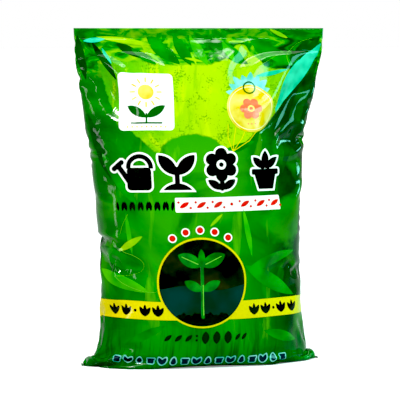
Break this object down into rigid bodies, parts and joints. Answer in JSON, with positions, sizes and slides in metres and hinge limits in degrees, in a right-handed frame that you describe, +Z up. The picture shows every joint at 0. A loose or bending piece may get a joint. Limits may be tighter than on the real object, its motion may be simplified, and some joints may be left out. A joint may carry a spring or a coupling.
{
  "type": "compost bag",
  "caption": "Upright sealed pillow bag of compost in glossy green printed plastic film, with a flat welded top seal and a flat base with side ears.",
  "frame": {"origin": "centre of the base, on the surface that the bag stands on", "axes": "+Z up, towards the top seal; -Y is the printed front; X runs across the width, from side fold to side fold"},
  "size_m": [0.274, 0.1166, 0.362],
  "materials": {
    "printed_film": "glossy printed plastic film, green"
  },
  "bodies": {
    "root": {"compost_bag": "printed_film"}
  },
  "joints": []
}
